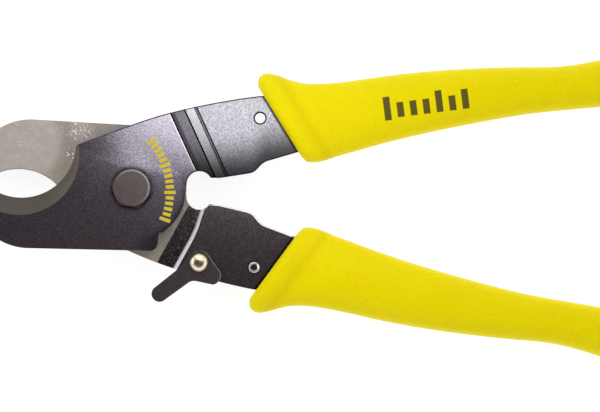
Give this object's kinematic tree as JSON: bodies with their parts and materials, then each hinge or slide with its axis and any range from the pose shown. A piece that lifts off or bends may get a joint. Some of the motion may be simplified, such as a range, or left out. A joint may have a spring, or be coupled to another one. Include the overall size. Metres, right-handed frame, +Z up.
{
  "type": "round cable cutter",
  "caption": "Hand cutter with two hooked blades on a hex pivot bolt, yellow plastic grips and a pivoting thumb catch.",
  "frame": {"origin": "on the pivot bolt's axis, at the bolt's rear end face, which is the plane the tool lies on", "axes": "+X from the pivot towards the grips along the line midway between them, +Y towards the upper grip, +Z up out of the front face"},
  "size_m": [0.2397, 0.1052, 0.017],
  "materials": {
    "blackened_steel": "dark oxide, ground bright on the bevels and mating flats",
    "dark_bolt_steel": "dark phosphate",
    "zinc_plate": "dull zinc",
    "yellow_plastic": "satin dipped plastic",
    "black_stamping": "satin black",
    "rivet_metal": "bright, pale brass",
    "bright_steel": "bright"
  },
  "bodies": {
    "rear_half": {"rear_blade": "blackened_steel", "lower_grip": "yellow_plastic", "pivot_bolt": "dark_bolt_steel", "pivot_washer": "zinc_plate", "pivot_nut": "dark_bolt_steel", "catch_rivet": "rivet_metal", "rivet_washer": "rivet_metal", "spring_pin": "bright_steel"},
    "front_half": {"front_blade": "blackened_steel", "upper_grip": "yellow_plastic"},
    "catch": {"catch_lever": "black_stamping"}
  },
  "joints": [
    {"name": "main_pivot", "type": "hinge", "parent": "rear_half", "child": "front_half", "pos_m": [0, 0, 0.0085], "axis": [0, 0, -1], "range_deg": [-30, 17]},
    {"name": "catch_pivot", "type": "hinge", "parent": "rear_half", "child": "catch", "pos_m": [0.0225, -0.0232, 0.0129], "axis": [0, 0, -1], "range_deg": [0, 40]}
  ]
}
